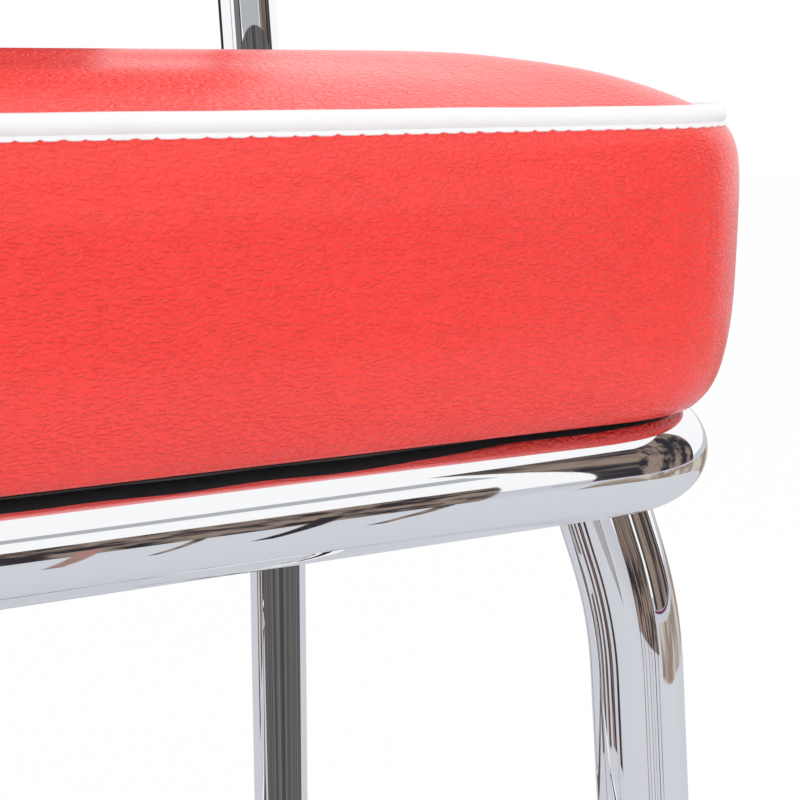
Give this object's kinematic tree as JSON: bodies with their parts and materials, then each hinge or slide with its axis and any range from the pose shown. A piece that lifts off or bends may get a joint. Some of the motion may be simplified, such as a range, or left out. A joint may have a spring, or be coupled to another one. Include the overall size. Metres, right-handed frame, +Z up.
{
  "type": "counter stool",
  "caption": "Counter stool with a piped box-cushion vinyl seat, padded back and chromed tube frame with foot bars on swivel glides.",
  "frame": {"origin": "middle of the bounding box of the whole stool, at floor level", "axes": "+Z up, the stool faces -Y, +X on the right when it is seen from its front"},
  "size_m": [0.4308, 0.4476, 0.9477],
  "materials": {
    "red_vinyl": "grained upholstery vinyl, semi-gloss",
    "white_piping": "smooth welt vinyl",
    "foam": "open-cell foam",
    "plywood": "raw plywood",
    "black_cloth": "non-woven dust cover",
    "chrome": "bright chrome plate",
    "black_steel": "satin black paint",
    "zinc_steel": "bright zinc plate",
    "nickel_steel": "nickel plate",
    "black_plastic": "moulded, fine texture",
    "grey_nylon": "moulded nylon"
  },
  "bodies": {
    "frame": {"seat_cover": "red_vinyl", "back_cover": "red_vinyl", "seat_foam": "foam", "back_foam": "foam", "seat_board": "plywood", "back_board": "plywood", "seat_piping": "white_piping", "back_piping": "white_piping", "seat_dust_cover": "black_cloth", "seat_staples": "zinc_steel", "back_rear_panel": "red_vinyl", "seat_bolts": "zinc_steel", "seat_washers": "zinc_steel", "seat_tee_nuts": "zinc_steel", "back_bolts": "zinc_steel", "back_washers": "zinc_steel", "back_tee_nuts": "zinc_steel", "seat_hoop": "chrome", "front_leg_left": "chrome", "front_leg_right": "chrome", "rear_leg_left": "chrome", "rear_leg_right": "chrome", "front_footrest_bar": "chrome", "rear_stretcher": "chrome", "left_side_stretcher": "chrome", "right_side_stretcher": "chrome", "front_cross_rail": "black_steel", "rear_cross_rail": "black_steel", "upright_plug_left": "black_plastic", "upright_plug_right": "black_plastic", "leg_plug_front_left": "black_plastic", "glide_stem_front_left": "zinc_steel", "leg_plug_front_right": "black_plastic", "glide_stem_front_right": "zinc_steel", "leg_plug_rear_left": "black_plastic", "glide_stem_rear_left": "zinc_steel", "leg_plug_rear_right": "black_plastic", "glide_stem_rear_right": "zinc_steel"},
    "glide_front_left": {"glide_base_front_left": "nickel_steel", "glide_sole_front_left": "grey_nylon"},
    "glide_front_right": {"glide_base_front_right": "nickel_steel", "glide_sole_front_right": "grey_nylon"},
    "glide_rear_left": {"glide_base_rear_left": "nickel_steel", "glide_sole_rear_left": "grey_nylon"},
    "glide_rear_right": {"glide_base_rear_right": "nickel_steel", "glide_sole_rear_right": "grey_nylon"}
  },
  "joints": [
    {"name": "glide_front_left_turn", "type": "hinge", "parent": "frame", "child": "glide_front_left", "pos_m": [-0.2004, -0.20878, 0.01], "axis": [0, 0, 1], "continuous": true},
    {"name": "glide_front_right_turn", "type": "hinge", "parent": "frame", "child": "glide_front_right", "pos_m": [0.2004, -0.20878, 0.01], "axis": [0, 0, 1], "continuous": true},
    {"name": "glide_rear_left_turn", "type": "hinge", "parent": "frame", "child": "glide_rear_left", "pos_m": [-0.19077, 0.16672, 0.01], "axis": [0, 0, 1], "continuous": true},
    {"name": "glide_rear_right_turn", "type": "hinge", "parent": "frame", "child": "glide_rear_right", "pos_m": [0.19077, 0.16672, 0.01], "axis": [0, 0, 1], "continuous": true}
  ]
}
